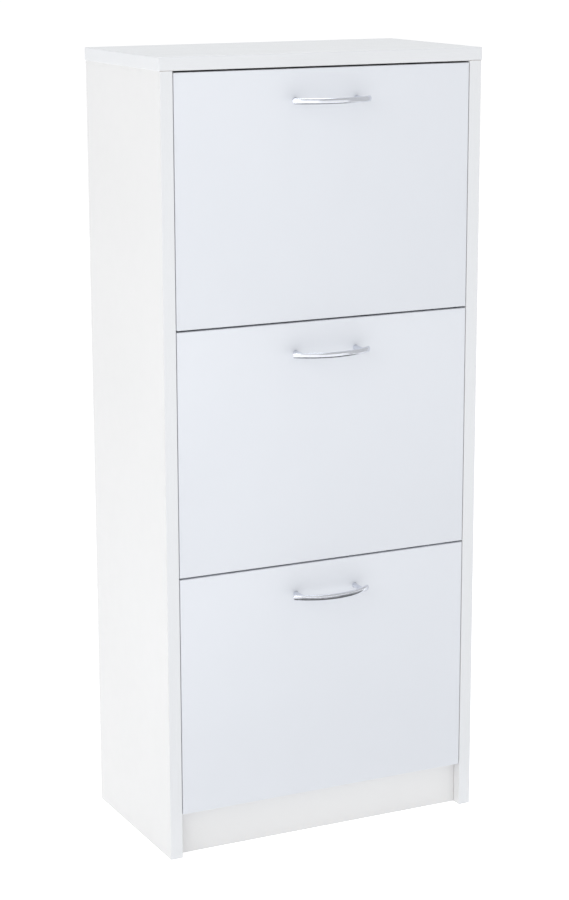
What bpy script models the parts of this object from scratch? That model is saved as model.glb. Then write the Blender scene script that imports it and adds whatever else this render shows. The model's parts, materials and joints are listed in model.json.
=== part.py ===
"""Shoe cabinet with three tilt-out flaps, one above another, in a melamine-faced carcass.

Frame: +Z is up, +X is to the right, and the flap fronts look towards -Y. The origin is on the floor,
at the middle of the overall width and depth. Sizes are in metres.

Each flap carries a shoe insert: two moulded cheeks that turn on pins in the side panels, and three
thin plates between them. A peg in the side panel runs in a slot of the cheek and stops the flap when
it is shut and when it is open.
"""

import math

import bmesh
import bpy
from mathutils import Matrix

# Overall size
WIDTH = 0.504
DEPTH = 0.270
HEIGHT = 1.150

# Carcass
BOARD = 0.019
TOP_OVERHANG = 0.0015
BACK_THICKNESS = 0.003
BACK_REBATE = 0.008
PLINTH_HEIGHT = 0.064
PLINTH_SETBACK = 0.016
PLINTH_THICKNESS = 0.016
SHELF_SETBACK = 0.0165

# Flaps
FLAPS = ("bottom", "middle", "top")
FLAP_THICKNESS = 0.016
REVEAL = 0.0025
SIDE_REVEAL = 0.0011
OPEN_ANGLE = math.radians(42)

# Pivot pins, measured from the front plane and from the flap's lower edge
PIVOT_BACK = 0.022
PIVOT_RISE = 0.110
PIN_RADIUS = 0.0042
BOSS_RADIUS = 0.0056
BUSH_BORE_RADIUS = 0.0045
BUSH_RADIUS = 0.0057
BUSH_FLANGE_RADIUS = 0.007
BUSH_FLANGE = 0.0008
BUSH_HOLE_DEPTH = 0.012
BUSH_END = 0.002
PIN_SHORT = 0.0033

# Stop pegs, and the slot each one runs in
PEG_RADIUS = 0.0035
PEG_HOLE_DEPTH = 0.010
PEG_NOSE = 0.0006
STOP_RADIUS = 0.205
STOP_ANGLE = math.radians(68)
SLOT_HALF_WIDTH = 0.0043

# Cheeks and plates of the shoe insert
CHEEK_GAP = 0.006
CHEEK_THICKNESS = 0.003
CHEEK_RADIUS = 0.220
CHEEK_FOOT = 0.002
FLANGE_WIDTH = 0.017
FLANGE_BOTTOM = -0.100
FLANGE_TOP = 0.203
PLATE_THICKNESS = 0.003
RIB_THICKNESS = 0.002
RIB_HEIGHT = 0.006
FLOOR_PLATE_RISE = 0.006
FLOOR_PLATE_DEPTH = 0.187
DIVIDER_FOOT_Y = 0.092
DIVIDER_TOP = (0.074, 0.150)
REAR_FOOT_Y = 0.183
REAR_TOP = (0.165, 0.100)

# Bow handle and the screws
HANDLE_REACH = 0.042
HANDLE_HALF_LENGTH = 0.0615
HANDLE_TIP_REACH = 0.020
HANDLE_INNER_REACH = 0.037
HANDLE_INNER_HALF = 0.0597
HANDLE_INNER_TIP_REACH = 0.0165
HANDLE_POST_HALF = 0.004
HANDLE_HEIGHT = 0.008
HANDLE_DROP = 0.043
HANDLE_HOLE_HALF_SPACING = 0.048
HANDLE_HOLE_DEPTH = 0.006
HANDLE_SCREW_RADIUS = 0.0019
HANDLE_SCREW_HEAD = (0.0040, 0.0024)
CHEEK_SCREW_RADIUS = 0.0017
CHEEK_SCREW_HEAD = (0.0035, 0.0022)
CHEEK_SCREW_BITE = 0.0105
CHEEK_SCREW_HEIGHTS = {"lower": -0.075, "upper": 0.165}

# Clearances and finish
SLACK = 0.0003
HOLE_SLACK = 0.0004
EDGE_ROUND = 0.0008
TOP_ROUND = 0.0015
OVERLAP = 0.001

# Worked out from the above
FRONT = -(DEPTH - HANDLE_REACH) / 2
BACK = FRONT + DEPTH
OUTER = WIDTH / 2 - TOP_OVERHANG
INNER = OUTER - BOARD
TOP_UNDERSIDE = HEIGHT - BOARD
FLAP_HALF_WIDTH = INNER - SIDE_REVEAL
FLAP_HEIGHT = (TOP_UNDERSIDE - PLINTH_HEIGHT - REVEAL) / len(FLAPS) - REVEAL
FLAP_FACE = -PIVOT_BACK
FLAP_BACK = FLAP_FACE + FLAP_THICKNESS
FLAP_BOTTOM = -PIVOT_RISE
FLAP_TOP = FLAP_HEIGHT - PIVOT_RISE
CHEEK_OUTER = INNER - CHEEK_GAP
CHEEK_INNER = CHEEK_OUTER - CHEEK_THICKNESS
CHEEK_FRONT = FLAP_BACK + SLACK
CHEEK_BOTTOM = FLAP_BOTTOM + CHEEK_FOOT
FLANGE_BACK = CHEEK_FRONT + CHEEK_THICKNESS
SCREW_LINE = CHEEK_INNER - FLANGE_WIDTH / 2
PLATE_HALF_WIDTH = CHEEK_INNER - SLACK
FLOOR_PLATE_BOTTOM = FLAP_BOTTOM + FLOOR_PLATE_RISE
FLOOR_PLATE_TOP = FLOOR_PLATE_BOTTOM + PLATE_THICKNESS
PLATE_FOOT_Z = FLOOR_PLATE_TOP + 2 * SLACK
SIDES = {"left": -1, "right": 1}


# ---------------------------------------------------------------- materials

def principled(name, colour, roughness, metallic=0.0):
    """Make a material from a colour, a roughness and a metallic value."""
    material = bpy.data.materials.new(name)
    material.use_nodes = True
    material.diffuse_color = (*colour, 1.0)
    shader = material.node_tree.nodes["Principled BSDF"]
    shader.inputs["Base Color"].default_value = (*colour, 1.0)
    shader.inputs["Roughness"].default_value = roughness
    shader.inputs["Metallic"].default_value = metallic
    return material


def make_materials():
    """Make one material for each kind of stock the cabinet is built from."""
    return {
        "carcass": principled("carcass_melamine", (0.87, 0.87, 0.87), 0.45),
        "flap": principled("flap_melamine", (0.80, 0.82, 0.86), 0.40),
        "hardboard": principled("hardboard", (0.72, 0.70, 0.66), 0.60),
        "insert_plate": principled("insert_plate", (0.82, 0.82, 0.82), 0.50),
        "cheek": principled("cheek_plastic", (0.62, 0.63, 0.65), 0.45),
        "bush": principled("bush_plastic", (0.75, 0.75, 0.74), 0.40),
        "handle": principled("satin_chrome", (0.75, 0.75, 0.78), 0.25, 1.0),
        "steel": principled("zinc_plated_steel", (0.60, 0.61, 0.62), 0.35, 1.0),
    }


# ---------------------------------------------------------------- meshes

def on_axis(axis, u, v, w):
    """Put w on the named axis, and u and v on the other two in X, Y, Z order."""
    return {"X": (w, u, v), "Y": (u, w, v), "Z": (u, v, w)}[axis]


def finish_mesh(solid, name, smooth=False):
    """Turn a bmesh into a mesh whose faces point out."""
    bmesh.ops.recalc_face_normals(solid, faces=solid.faces)
    mesh = bpy.data.meshes.new(name)
    solid.to_mesh(mesh)
    solid.free()
    if smooth:
        mesh.shade_smooth()
        mesh.set_sharp_from_angle(angle=math.radians(35))
    return mesh


def block(name, size):
    """Make a box of the given size, centred on its origin."""
    solid = bmesh.new()
    bmesh.ops.create_cube(solid, size=1.0, matrix=Matrix.Diagonal((*size, 1.0)))
    return finish_mesh(solid, name)


def extruded(name, outline, start, end, axis, smooth=False):
    """Run a closed outline along an axis from start to end."""
    solid = bmesh.new()
    corners = [solid.verts.new(on_axis(axis, u, v, start)) for u, v in outline]
    base = solid.faces.new(corners)
    moved = bmesh.ops.extrude_face_region(solid, geom=[base])["geom"]
    shift = on_axis(axis, 0.0, 0.0, end - start)
    bmesh.ops.translate(solid, vec=shift, verts=[v for v in moved if isinstance(v, bmesh.types.BMVert)])
    return finish_mesh(solid, name, smooth)


def turned(name, profile, steps):
    """Spin a line of (radius, height) points about Z. It starts and ends on the axis."""
    solid = bmesh.new()
    points = [solid.verts.new((radius, 0.0, height)) for radius, height in profile]
    line = [solid.edges.new(pair) for pair in zip(points, points[1:])]
    bmesh.ops.spin(solid, geom=points + line, cent=(0, 0, 0), axis=(0, 0, 1), angle=math.tau, steps=steps,
                   use_merge=True)
    bmesh.ops.remove_doubles(solid, verts=solid.verts, dist=1e-6)
    return finish_mesh(solid, name, smooth=True)


def arc(centre, radius, start, end, steps):
    """List points on an arc, from the start angle to the end angle."""
    angles = [start + (end - start) * i / steps for i in range(steps + 1)]
    return [(centre[0] + radius * math.cos(a), centre[1] + radius * math.sin(a)) for a in angles]


def bow(half_chord, tip_reach, reach, steps):
    """List points on the arc from (-half_chord, -tip_reach) through (0, -reach) to (half_chord, -tip_reach)."""
    rise = reach - tip_reach
    radius = (half_chord ** 2 + rise ** 2) / (2 * rise)
    half_angle = math.asin(half_chord / radius)
    return arc((0.0, radius - reach), radius, -math.pi / 2 - half_angle, -math.pi / 2 + half_angle, steps)


# ---------------------------------------------------------------- objects

def add(name, mesh, material, location=(0, 0, 0), rotation=(0, 0, 0), parent=None):
    """Put a mesh in the scene as a named object, placed in its parent's frame."""
    obj = bpy.data.objects.new(name, mesh)
    bpy.context.scene.collection.objects.link(obj)
    obj.location = location
    obj.rotation_euler = rotation
    obj.parent = parent
    if material:
        mesh.materials.append(material)
    return obj


def board(name, low, high, material, parent=None, rounding=EDGE_ROUND):
    """Add a board between two opposite corners, with its edges rounded over unless rounding is 0."""
    size = [b - a for a, b in zip(low, high)]
    centre = [(a + b) / 2 for a, b in zip(low, high)]
    obj = add(name, block(name, size), material, centre, parent=parent)
    if rounding:
        bevel = obj.modifiers.new("edge_round", "BEVEL")
        bevel.width = rounding
        bevel.segments = 2
    return obj


def combine(target, tool, operation):
    """Cut a hidden tool object out of the target, or join it on."""
    tool.hide_render = True
    tool.display_type = "WIRE"
    boolean = target.modifiers.new(tool.name, "BOOLEAN")
    boolean.operation = operation
    boolean.object = tool


def axis_rotation(axis):
    """Give the rotation that lays a turned piece's Z along the named axis."""
    return {"X": (0, math.pi / 2, 0), "Y": (math.pi / 2, 0, 0), "Z": (0, 0, 0)}[axis]


def drill(target, name, radius, length, centre, axis, parent=None, steps=16):
    """Cut a round hole whose middle is at centre."""
    profile = [(0, -length / 2), (radius, -length / 2), (radius, length / 2), (0, length / 2)]
    tool = add(name, turned(name, profile, steps), None, centre, axis_rotation(axis), parent)
    combine(target, tool, "DIFFERENCE")


# ---------------------------------------------------------------- carcass

def flap_bottom_z(index):
    """Height of the lower edge of one flap."""
    return PLINTH_HEIGHT + REVEAL + index * (FLAP_HEIGHT + REVEAL)


def pivot_height(index):
    """Height of one flap's pivot axis."""
    return flap_bottom_z(index) + PIVOT_RISE


def stop_peg_offset():
    """Place of the stop peg from the pivot axis, as (back, up)."""
    return STOP_RADIUS * math.cos(STOP_ANGLE), STOP_RADIUS * math.sin(STOP_ANGLE)


def side_panel(side, sign, material):
    """Full-height side board with a rebate for the back and blind holes for the bushes and pegs."""
    rebate_front = BACK - BACK_THICKNESS - SLACK
    arris_y = FRONT + EDGE_ROUND
    outline = arc((INNER + EDGE_ROUND, arris_y), EDGE_ROUND, -math.pi, -math.pi / 2, 3)
    outline += arc((OUTER - EDGE_ROUND, arris_y), EDGE_ROUND, -math.pi / 2, 0.0, 3)
    outline += [(OUTER, BACK), (INNER + BACK_REBATE, BACK), (INNER + BACK_REBATE, rebate_front),
                (INNER, rebate_front)]
    outline = [(sign * x, y) for x, y in outline]
    name = "side_panel_" + side
    panel = add(name, extruded(name, outline, 0.0, TOP_UNDERSIDE - SLACK, "Z"), material)
    for index, flap in enumerate(FLAPS):
        pivot = (FRONT + PIVOT_BACK, pivot_height(index))
        back, up = stop_peg_offset()
        holes = (("bush_hole", BUSH_RADIUS + SLACK, BUSH_HOLE_DEPTH, pivot),
                 ("peg_hole", PEG_RADIUS + SLACK, PEG_HOLE_DEPTH, (pivot[0] + back, pivot[1] + up)))
        for label, radius, depth, (y, z) in holes:
            middle = (sign * (INNER + (depth - OVERLAP) / 2), y, z)
            drill(panel, f"{label}_{flap}_{side}", radius, depth + OVERLAP, middle, "X", steps=20)


def build_carcass(materials):
    """Build the fixed boards of the cabinet."""
    stock = materials["carcass"]
    for side, sign in SIDES.items():
        side_panel(side, sign, stock)
    between = INNER - SLACK
    inside_back = BACK - BACK_THICKNESS - SLACK
    board("top_panel", (-WIDTH / 2, FRONT, TOP_UNDERSIDE), (WIDTH / 2, BACK, HEIGHT), stock,
          rounding=TOP_ROUND)
    plinth_front = FRONT + PLINTH_SETBACK
    plinth_back = plinth_front + PLINTH_THICKNESS
    board("plinth", (-between, plinth_front, 0.0), (between, plinth_back, PLINTH_HEIGHT), stock)
    board("bottom_panel", (-between, plinth_back + SLACK, PLINTH_HEIGHT - BOARD),
          (between, inside_back, PLINTH_HEIGHT), stock)
    for index, name in enumerate(("shelf_lower", "shelf_upper")):
        top = flap_bottom_z(index) + FLAP_HEIGHT
        board(name, (-between, FRONT + SHELF_SETBACK, top - BOARD), (between, inside_back, top), stock)
    back_half = INNER + BACK_REBATE - SLACK
    board("back_panel", (-back_half, BACK - BACK_THICKNESS, PLINTH_HEIGHT - BOARD),
          (back_half, BACK, TOP_UNDERSIDE - SLACK), materials["hardboard"], rounding=0.0)


def pivot_bush(name, sign, height, material):
    """Flanged bush pressed into the side panel, with a blind bore for the cheek's pin."""
    length = BUSH_FLANGE + BUSH_HOLE_DEPTH - HOLE_SLACK
    floor = length - BUSH_END
    profile = [(0, floor), (BUSH_BORE_RADIUS, floor), (BUSH_BORE_RADIUS, 0), (BUSH_FLANGE_RADIUS, 0),
               (BUSH_FLANGE_RADIUS, BUSH_FLANGE), (BUSH_RADIUS, BUSH_FLANGE), (BUSH_RADIUS, length),
               (0, length)]
    face = INNER - SLACK - BUSH_FLANGE
    add(name, turned(name, profile, 20), material, (sign * face, FRONT + PIVOT_BACK, height),
        (0, sign * math.pi / 2, 0))


def stop_peg(name, sign, height, material):
    """Plain peg with a chamfered nose, standing out of the side panel into the cheek's slot."""
    back, up = stop_peg_offset()
    inner_end = CHEEK_INNER + PEG_NOSE
    length = INNER + PEG_HOLE_DEPTH - HOLE_SLACK - inner_end
    profile = [(0, 0), (PEG_RADIUS - PEG_NOSE, 0), (PEG_RADIUS, PEG_NOSE), (PEG_RADIUS, length), (0, length)]
    place = (sign * inner_end, FRONT + PIVOT_BACK + back, height + up)
    add(name, turned(name, profile, 16), material, place, (0, sign * math.pi / 2, 0))


# ---------------------------------------------------------------- flaps

def screw(name, radius, head, length, location, material, parent):
    """Screw along Y: its head bears at the location and its shank runs towards -Y."""
    head_radius, head_height = head
    profile = [(0, -head_height), (head_radius, -head_height), (head_radius, 0), (radius, 0),
               (radius, length), (0, length)]
    add(name, turned(name, profile, 12), material, location, axis_rotation("Y"), parent)


def flap_front(flap, pivot, materials):
    """Front board of one flap, with its bow handle and all the holes for screws."""
    name = "door_panel_" + flap
    front = board(name, (-FLAP_HALF_WIDTH, FLAP_FACE, FLAP_BOTTOM), (FLAP_HALF_WIDTH, FLAP_BACK, FLAP_TOP),
                  materials["flap"], pivot)
    handle_z = FLAP_TOP - HANDLE_DROP
    middle_y = (FLAP_FACE + FLAP_BACK) / 2
    handle = bow_handle(flap, handle_z, pivot, materials["handle"])
    for side, sign in SIDES.items():
        x = sign * HANDLE_HOLE_HALF_SPACING
        drill(front, f"handle_hole_{flap}_{side}", HANDLE_SCREW_RADIUS + HOLE_SLACK, 2 * FLAP_THICKNESS,
              (x, middle_y, handle_z), "Y", pivot)
        drill(handle, f"handle_bore_{flap}_{side}", HANDLE_SCREW_RADIUS + SLACK, 2 * HANDLE_HOLE_DEPTH,
              (x, FLAP_FACE - SLACK, handle_z), "Y", pivot)
        reach = FLAP_THICKNESS + HANDLE_HOLE_DEPTH - HOLE_SLACK
        screw(f"handle_screw_{flap}_{side}", HANDLE_SCREW_RADIUS, HANDLE_SCREW_HEAD, reach,
              (x, FLAP_BACK + SLACK, handle_z), materials["steel"], pivot)
        for place, z in CHEEK_SCREW_HEIGHTS.items():
            bite = CHEEK_SCREW_BITE + HOLE_SLACK
            drill(front, f"pilot_hole_{flap}_{side}_{place}", CHEEK_SCREW_RADIUS + SLACK, 2 * bite,
                  (sign * SCREW_LINE, FLAP_BACK, z), "Y", pivot, steps=12)
            length = CHEEK_THICKNESS + 2 * SLACK + CHEEK_SCREW_BITE
            screw(f"cheek_screw_{flap}_{side}_{place}", CHEEK_SCREW_RADIUS, CHEEK_SCREW_HEAD, length,
                  (sign * SCREW_LINE, FLANGE_BACK + SLACK, z), materials["steel"], pivot)


def bow_handle(flap, height, pivot, material):
    """Strap bent in one arc that stands on two posts, with its ends free beyond them."""
    name = "handle_" + flap
    outer = bow(HANDLE_HALF_LENGTH, HANDLE_TIP_REACH, HANDLE_REACH - SLACK, 24)
    inner = bow(HANDLE_INNER_HALF, HANDLE_INNER_TIP_REACH, HANDLE_INNER_REACH - SLACK, 24)[::-1]
    near = HANDLE_HOLE_HALF_SPACING - HANDLE_POST_HALF
    far = HANDLE_HOLE_HALF_SPACING + HANDLE_POST_HALF
    backs = {x: y_on(inner, x) for x in (far, near, -near, -far)}
    posts = [[(first, backs[first]), (first, 0.0), (second, 0.0), (second, backs[second])]
             for first, second in ((far, near), (-near, -far))]
    stretches = [[point for point in inner if low < point[0] < high]
                 for low, high in ((far, 1.0), (-near, near), (-1.0, -far))]
    outline = outer + stretches[0] + posts[0] + stretches[1] + posts[1] + stretches[2]
    mesh = extruded(name, outline, -HANDLE_HEIGHT / 2, HANDLE_HEIGHT / 2, "Z", smooth=True)
    return add(name, mesh, material, (0, FLAP_FACE - SLACK, height), parent=pivot)


def y_on(points, x):
    """Height at which a line of points, ordered by falling x, passes over x."""
    for (x1, y1), (x2, y2) in zip(points, points[1:]):
        if x2 <= x <= x1:
            return y1 + (y2 - y1) * (x1 - x) / (x1 - x2)
    raise ValueError("x is beyond the line")


def cheek_outline():
    """Quarter disc about the pivot, cut off straight at the bottom and along the flap."""
    start = math.asin(CHEEK_BOTTOM / CHEEK_RADIUS)
    end = math.acos(CHEEK_FRONT / CHEEK_RADIUS)
    return [(CHEEK_FRONT, CHEEK_BOTTOM)] + arc((0, 0), CHEEK_RADIUS, start, end, 28)


def slot_outline():
    """Round-ended slot that the peg runs along while the flap opens."""
    shut, opened = STOP_ANGLE, STOP_ANGLE - OPEN_ANGLE
    outer = arc((0, 0), STOP_RADIUS + SLOT_HALF_WIDTH, opened, shut, 14)
    inner = arc((0, 0), STOP_RADIUS - SLOT_HALF_WIDTH, shut, opened, 14)
    ends = []
    for angle in (shut, opened):
        centre = (STOP_RADIUS * math.cos(angle), STOP_RADIUS * math.sin(angle))
        first = angle if angle == shut else angle + math.pi
        ends.append(arc(centre, SLOT_HALF_WIDTH, first, first + math.pi, 6)[1:-1])
    return outer + ends[0] + inner + ends[1]


def leaning(foot, top):
    """Centre, tilt about X and length of a plate that stands between two (y, z) points."""
    run, rise = foot[0] - top[0], top[1] - foot[1]
    centre = ((foot[0] + top[0]) / 2, (foot[1] + top[1]) / 2)
    return centre, math.atan2(run, rise), math.hypot(run, rise)


def standing_plates():
    """The two plates that stand on the floor plate, as name: (foot, top)."""
    return {"divider_plate": ((DIVIDER_FOOT_Y, PLATE_FOOT_Z), DIVIDER_TOP),
            "rear_plate": ((REAR_FOOT_Y, PLATE_FOOT_Z), REAR_TOP)}


def cheek_ribs(sign):
    """Centre, tilt and size of each rib: a ledge under the floor plate, and two beside each plate."""
    x = sign * (CHEEK_INNER - (RIB_HEIGHT - OVERLAP) / 2)
    across = RIB_HEIGHT + OVERLAP
    ledge_z = FLOOR_PLATE_BOTTOM - SLACK - RIB_THICKNESS / 2
    ledge_length = FLOOR_PLATE_DEPTH - 2 * RIB_HEIGHT
    ribs = [((x, FLOOR_PLATE_DEPTH / 2, ledge_z), 0.0, (across, ledge_length, RIB_THICKNESS))]
    offset = PLATE_THICKNESS / 2 + SLACK + RIB_THICKNESS / 2
    for foot, top in standing_plates().values():
        (y, z), tilt, length = leaning(foot, top)
        for way in (-1, 1):
            shift_y, shift_z = way * offset * math.cos(tilt), way * offset * math.sin(tilt)
            size = (across, RIB_THICKNESS, length - 2 * RIB_HEIGHT)
            ribs.append(((x, y + shift_y, z + shift_z), tilt, size))
    return ribs


def cheek(flap, side, sign, pivot, material):
    """Moulded cheek in one piece: disc, screw flange, pivot boss and pin, ribs and stop slot."""
    name = f"cheek_{flap}_{side}"
    disc = extruded(name, cheek_outline(), sign * CHEEK_INNER, sign * CHEEK_OUTER, "X")
    body = add(name, disc, material, parent=pivot)

    flange_x = sign * (CHEEK_INNER - (FLANGE_WIDTH - OVERLAP) / 2)
    flange_centre = (flange_x, (CHEEK_FRONT + FLANGE_BACK) / 2, (FLANGE_BOTTOM + FLANGE_TOP) / 2)
    flange_size = (FLANGE_WIDTH + OVERLAP, FLANGE_BACK - CHEEK_FRONT, FLANGE_TOP - FLANGE_BOTTOM)
    flange = add(f"flange_{flap}_{side}", block("flange", flange_size), None, flange_centre, parent=pivot)
    combine(body, flange, "UNION")

    for number, (centre, tilt, size) in enumerate(cheek_ribs(sign)):
        rib = add(f"rib_{flap}_{side}_{number}", block("rib", size), None, centre, (tilt, 0, 0), pivot)
        combine(body, rib, "UNION")

    boss_end = CHEEK_THICKNESS + CHEEK_GAP - BUSH_FLANGE - 2 * SLACK - HOLE_SLACK
    pin_end = CHEEK_THICKNESS + CHEEK_GAP + BUSH_HOLE_DEPTH - PIN_SHORT
    profile = [(0, OVERLAP), (BOSS_RADIUS, OVERLAP), (BOSS_RADIUS, boss_end), (PIN_RADIUS, boss_end),
               (PIN_RADIUS, pin_end - OVERLAP), (PIN_RADIUS - OVERLAP / 2, pin_end), (0, pin_end)]
    pin = add(f"pin_{flap}_{side}", turned("pin", profile, 20), None, (sign * CHEEK_INNER, 0, 0),
              (0, sign * math.pi / 2, 0), pivot)
    combine(body, pin, "UNION")

    slot_start, slot_end = sign * (CHEEK_INNER - OVERLAP), sign * (CHEEK_OUTER + OVERLAP)
    slot = add(f"slot_{flap}_{side}", extruded("slot", slot_outline(), slot_start, slot_end, "X"), None,
               parent=pivot)
    combine(body, slot, "DIFFERENCE")
    for place, z in CHEEK_SCREW_HEIGHTS.items():
        drill(body, f"flange_hole_{flap}_{side}_{place}", CHEEK_SCREW_RADIUS + HOLE_SLACK,
              4 * CHEEK_THICKNESS, (sign * SCREW_LINE, FLANGE_BACK, z), "Y", pivot, steps=12)


def insert_plates(flap, pivot, material):
    """Floor plate, divider plate and rear plate of one shoe insert."""
    board("floor_plate_" + flap, (-PLATE_HALF_WIDTH, FLANGE_BACK + SLACK, FLOOR_PLATE_BOTTOM),
          (PLATE_HALF_WIDTH, FLOOR_PLATE_DEPTH, FLOOR_PLATE_TOP), material, pivot, rounding=0.0)
    for label, (foot, top) in standing_plates().items():
        (y, z), tilt, length = leaning(foot, top)
        name = f"{label}_{flap}"
        add(name, block(name, (2 * PLATE_HALF_WIDTH, PLATE_THICKNESS, length)), material, (0, y, z),
            (tilt, 0, 0), pivot)


def build_flap(index, flap, materials):
    """Build one flap under an empty that stands on its pivot axis."""
    height = pivot_height(index)
    pivot = add("flap_" + flap, None, None, (0, FRONT + PIVOT_BACK, height))
    flap_front(flap, pivot, materials)
    insert_plates(flap, pivot, materials["insert_plate"])
    for side, sign in SIDES.items():
        cheek(flap, side, sign, pivot, materials["cheek"])
        pivot_bush(f"pivot_bush_{flap}_{side}", sign, height, materials["bush"])
        stop_peg(f"stop_peg_{flap}_{side}", sign, height, materials["steel"])


def main():
    for obj in list(bpy.data.objects):
        bpy.data.objects.remove(obj, do_unlink=True)
    materials = make_materials()
    build_carcass(materials)
    for index, flap in enumerate(FLAPS):
        build_flap(index, flap, materials)


main()
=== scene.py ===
"""Looks of the shoe cabinet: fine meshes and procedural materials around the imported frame.

Each piece stands for the CAD node it is named after, lies where that node lies and moves with its
body. Boards are rebuilt from their nodes' boxes. Moulded, thin and turned pieces are rounded copies of
their nodes. Handles, screws and the nails of the back are modelled here. Sizes are in metres.
"""

import json
import math

import bmesh
import bpy
from mathutils import Euler, Matrix, Vector


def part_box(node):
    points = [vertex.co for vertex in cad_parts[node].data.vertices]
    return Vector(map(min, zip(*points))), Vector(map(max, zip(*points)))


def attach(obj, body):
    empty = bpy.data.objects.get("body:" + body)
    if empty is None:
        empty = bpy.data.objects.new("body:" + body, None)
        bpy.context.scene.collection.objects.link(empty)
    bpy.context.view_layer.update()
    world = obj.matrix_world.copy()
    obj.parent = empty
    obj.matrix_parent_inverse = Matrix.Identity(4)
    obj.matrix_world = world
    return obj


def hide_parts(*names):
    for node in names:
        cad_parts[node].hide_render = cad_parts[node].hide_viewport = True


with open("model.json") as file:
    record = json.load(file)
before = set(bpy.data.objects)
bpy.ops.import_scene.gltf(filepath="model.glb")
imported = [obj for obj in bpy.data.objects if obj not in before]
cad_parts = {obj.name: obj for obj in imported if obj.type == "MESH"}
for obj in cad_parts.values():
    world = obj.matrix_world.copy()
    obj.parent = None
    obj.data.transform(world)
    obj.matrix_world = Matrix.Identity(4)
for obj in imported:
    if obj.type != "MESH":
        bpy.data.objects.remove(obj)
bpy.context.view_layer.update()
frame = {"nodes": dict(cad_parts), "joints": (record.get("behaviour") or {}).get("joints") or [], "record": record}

RECORD = frame["record"]
NODE_BODY = {node: body for body, nodes in RECORD["behaviour"]["bodies"].items() for node in nodes}
PIVOTS = {joint["child"]: Vector(joint["pos_m"]) for joint in frame["joints"]}
FLAPS = ("bottom", "middle", "top")
SIDES = {"left": -1, "right": 1}
FRONT_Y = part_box("side_panel_left")[0].y

# Camera, as fitted to the cabinet's edges
CAMERA_PLACE = (-1.4891, FRONT_Y - 2.8956, 1.3411)
CAMERA_YAW = math.radians(26.181)
CAMERA_PITCH = math.radians(13.087)
CAMERA_ROLL = math.radians(-0.148)
SENSOR = 36.0
FOCAL_LENGTH = 2.58 * SENSOR
CLIP_END = 200

# Meshes
MERGE_DISTANCE = 1e-6
SLIVER = 2e-6
FLAT_ANGLE = math.radians(0.5)
SHARP_ANGLE = math.radians(30)
SMOOTH_ANGLE = math.radians(40)
CUT_MARGIN = 0.01
DIRECTIONS = {"-X": (-1, 0, 0), "+X": (1, 0, 0), "-Y": (0, -1, 0), "+Y": (0, 1, 0), "-Z": (0, 0, -1),
              "+Z": (0, 0, 1)}

# Places of a board's materials in its list
FACE, BAND, RAW = 0, 1, 2

# Boards
ARRIS = 0.0009
TOP_ARRIS = 0.0015
THIN_ARRIS = 0.0004
ARRIS_STEPS = 4
BAND_THICKNESS = 0.0009
GLUE_LINE = 0.00009
HOLE_STEPS = 40
BUSH_HOLE_RADIUS = 0.0057
BUSH_HOLE_DEPTH = 0.012
PEG_HOLE_DEPTH = 0.010
PILOT_HOLE_RADIUS = 0.0017
PILOT_HOLE_DEPTH = 0.0115
HANDLE_HOLE_RADIUS = 0.0022
SHELVES = ("bottom_panel", "shelf_lower", "shelf_upper")

# Nails of the back panel
NAIL_RADIUS = 0.0030
NAIL_HEAD = 0.0005
NAIL_SPACING = 0.125
NAIL_INSET = 0.0045
NAIL_LENGTH = 0.010
NAIL_SHANK_RADIUS = 0.0006
NAIL_POINT_SHARE = 0.1
NAIL_SUNK = 0.00005
NAIL_STEPS = 20
DIMPLE_RADIUS = 0.0036
DIMPLE_DEPTH = 0.0007

# Moulded cheeks: the disc's and the slot's raised rims
MOULDED_ARRIS = 0.0004
COPY_ARRIS_STEPS = 2
RIM_WIDTH = 0.0026
RIM_HEIGHT = 0.0018
RIM_INSET = 0.0002
RIM_START = 0.006
RIM_STEPS = 60
STOP_RADIUS = 0.205
STOP_ANGLE = math.radians(68)
OPEN_ANGLE = math.radians(RECORD["behaviour"]["joints"][0]["range_deg"][1])
SLOT_HALF_WIDTH = 0.0043
SLOT_STEPS = 28
SLOT_END_STEPS = 12
LIP_WIDTH = 0.0018
LIP_HEIGHT = 0.0009
CHEEK_THICKNESS = 0.003

# Screws: the head's and the recess's shares are of the head's size, the thread's of the shank's radius
SCREWS = {
    "handle": {"head_radius": 0.0040, "head_height": 0.0024, "radius": 0.0019, "length": 0.0218,
               "point": 0.0008},
    "cheek": {"head_radius": 0.0035, "head_height": 0.0022, "radius": 0.0017, "length": 0.0135,
              "point": 0.0030},
}
SCREW_STEPS = 32
DOME_STEPS = 8
HEAD_RIM_SHARE = 0.35
THREAD_PITCH = 0.0012
THREAD_START = 0.001
THREAD_ROOT_SHARE = 0.72
RECESS_ARM_SHARE = 0.56
RECESS_HALF_SHARE = 0.13
RECESS_FLOOR_SHARE = 0.5
RECESS_TOP_SHARE = 1.5
RECESS_TAPER = 0.62

# Bushes and pegs
TURNED_ARRIS = 0.0002

# Bow handle: reaches are measured from the flap's face
HANDLE_TIP_REACH = 0.020
HANDLE_INNER_HALF = 0.0597
HANDLE_INNER_TIP_REACH = 0.0165
HANDLE_INNER_REACH = 0.037
HANDLE_STEPS = 72
TIP_ROUND = 0.0022
TIP_STEPS = 7
TIP_CUT = 0.55
POST_RADIUS = 0.0039
POST_FLARE = 0.0006
POST_LENGTH = 0.0265
POST_STEPS = 40
CORNER_STEPS = 9
STRAP_CORNER_DEPTH = 0.0016
STRAP_CORNER_HEIGHT = 0.0031

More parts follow.
